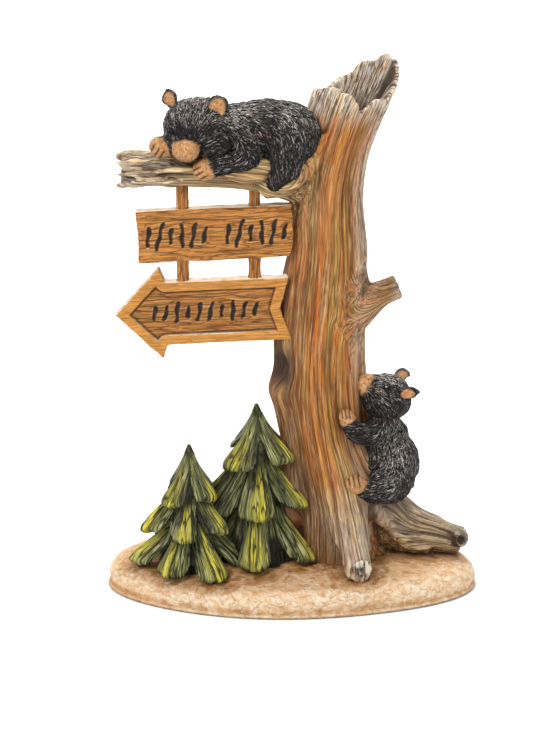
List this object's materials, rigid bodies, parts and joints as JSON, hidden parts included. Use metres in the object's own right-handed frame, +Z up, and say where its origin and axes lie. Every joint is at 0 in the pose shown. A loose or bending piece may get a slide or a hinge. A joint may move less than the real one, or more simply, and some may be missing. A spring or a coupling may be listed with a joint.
{
  "type": "bear cub tree figurine",
  "caption": "Cast resin figurine of bear cubs on a hollow tree trunk: one sleeps on a limb over hanging sign boards, one climbs above a root, beside small spruces on an oval base.",
  "frame": {"origin": "centre of the flat underside of the base", "axes": "+Z up, -Y towards the front that the boards and the sleeping cub face, +X to the climbing cub"},
  "size_m": [0.1799, 0.1034, 0.2588],
  "materials": {
    "painted_resin": "hand-painted polyresin, washed and dry-brushed, low sheen"
  },
  "bodies": {
    "root": {"cub_tree_figurine": "painted_resin"}
  },
  "joints": []
}
